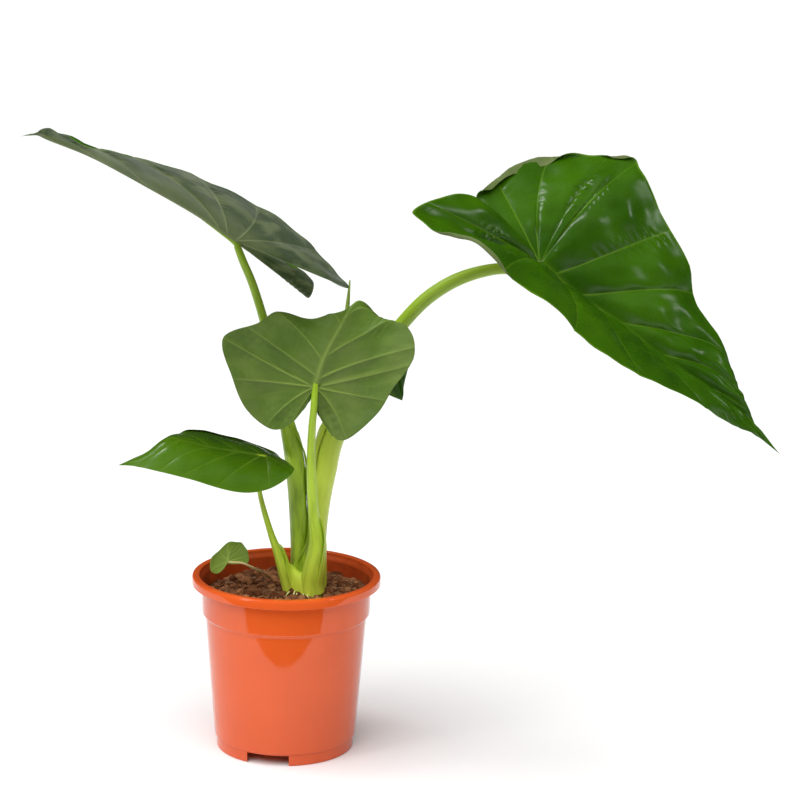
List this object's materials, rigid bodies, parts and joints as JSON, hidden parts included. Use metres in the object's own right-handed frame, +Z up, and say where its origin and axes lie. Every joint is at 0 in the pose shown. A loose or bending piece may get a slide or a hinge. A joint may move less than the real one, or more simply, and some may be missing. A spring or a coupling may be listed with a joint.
{
  "type": "potted alocasia plant",
  "caption": "Broad-leaved tropical foliage plant with arrow-shaped leaves on long arching stalks, growing from soil in a round plastic nursery pot.",
  "frame": {"origin": "centre of the pot's underside, on the pot's axis", "axes": "+Z up along the pot's axis, +X to the side of the big drooping leaf, -Y to the front"},
  "size_m": [0.7564, 0.2131, 0.6225],
  "materials": {
    "pot_plastic": "glossy injection-moulded plastic, orange terracotta",
    "soil_mix": "loose brown coir and bark potting mix",
    "stem_skin": "pale yellow-green plant skin",
    "stalk_skin": "smooth fresh green plant skin, slightly glossy",
    "leaf_skin": "waxy glossy dark green above, matt grey-green below"
  },
  "bodies": {
    "root": {"pot": "pot_plastic", "soil": "soil_mix", "stem_base": "stem_skin", "stalk_right": "stalk_skin", "leaf_right": "leaf_skin", "stalk_left": "stalk_skin", "leaf_left": "leaf_skin", "stalk_front": "stalk_skin", "leaf_front": "leaf_skin", "stalk_low": "stalk_skin", "leaf_low": "leaf_skin", "stalk_small": "stalk_skin", "leaf_small": "leaf_skin", "new_leaf": "stalk_skin"}
  },
  "joints": []
}
